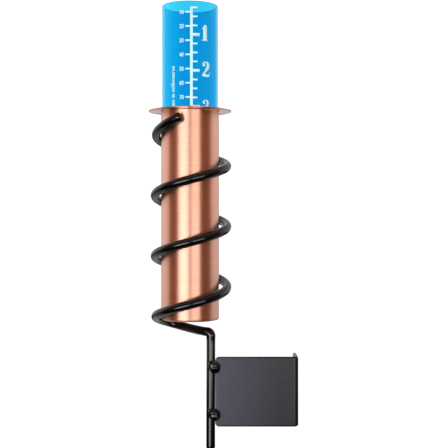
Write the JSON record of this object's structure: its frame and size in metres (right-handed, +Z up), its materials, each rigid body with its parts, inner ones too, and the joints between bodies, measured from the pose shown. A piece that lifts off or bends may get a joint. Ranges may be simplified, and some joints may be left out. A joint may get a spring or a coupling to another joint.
{
  "type": "manual rain gauge",
  "caption": "Floating-tube rain gauge: a copper reservoir with a clear blue scale tube stands in a black spiral rod holder with an L-bracket for a post.",
  "frame": {"origin": "centre of the outer face of the bracket's flange, the face that is screwed to a post", "axes": "+X into the post, +Z up along the gauge, -Y the front that is read"},
  "size_m": [0.1089, 0.0604, 0.3216],
  "materials": {
    "copper": "brushed lacquered copper",
    "black_coat": "gloss black powder coat",
    "plate_coat": "satin black powder coat",
    "blue_acrylic": "clear blue tinted plastic, polished",
    "foam": "closed-cell foam",
    "plug_plastic": "satin moulded plastic",
    "white_ink": "white screen-printed ink"
  },
  "bodies": {
    "holder": {"spiral_rod": "black_coat", "mounting_bracket": "plate_coat", "weld_bead_upper": "black_coat", "weld_bead_lower": "black_coat"},
    "reservoir": {"reservoir_tube": "copper", "reservoir_base": "copper", "rim_flange": "copper"},
    "float_tube": {"measuring_tube": "blue_acrylic", "foam_float": "foam", "tube_plug": "plug_plastic"}
  },
  "joints": [
    {"name": "reservoir_lift", "type": "slide", "parent": "holder", "child": "reservoir", "axis": [0, 0, 1], "range_m": [0, 0.155]},
    {"name": "tube_rise", "type": "slide", "parent": "reservoir", "child": "float_tube", "axis": [0, 0, 1], "range_m": [-0.0777, 0.0493], "stiffness_N_per_m": 12.7, "springref_m": 0.0308}
  ]
}
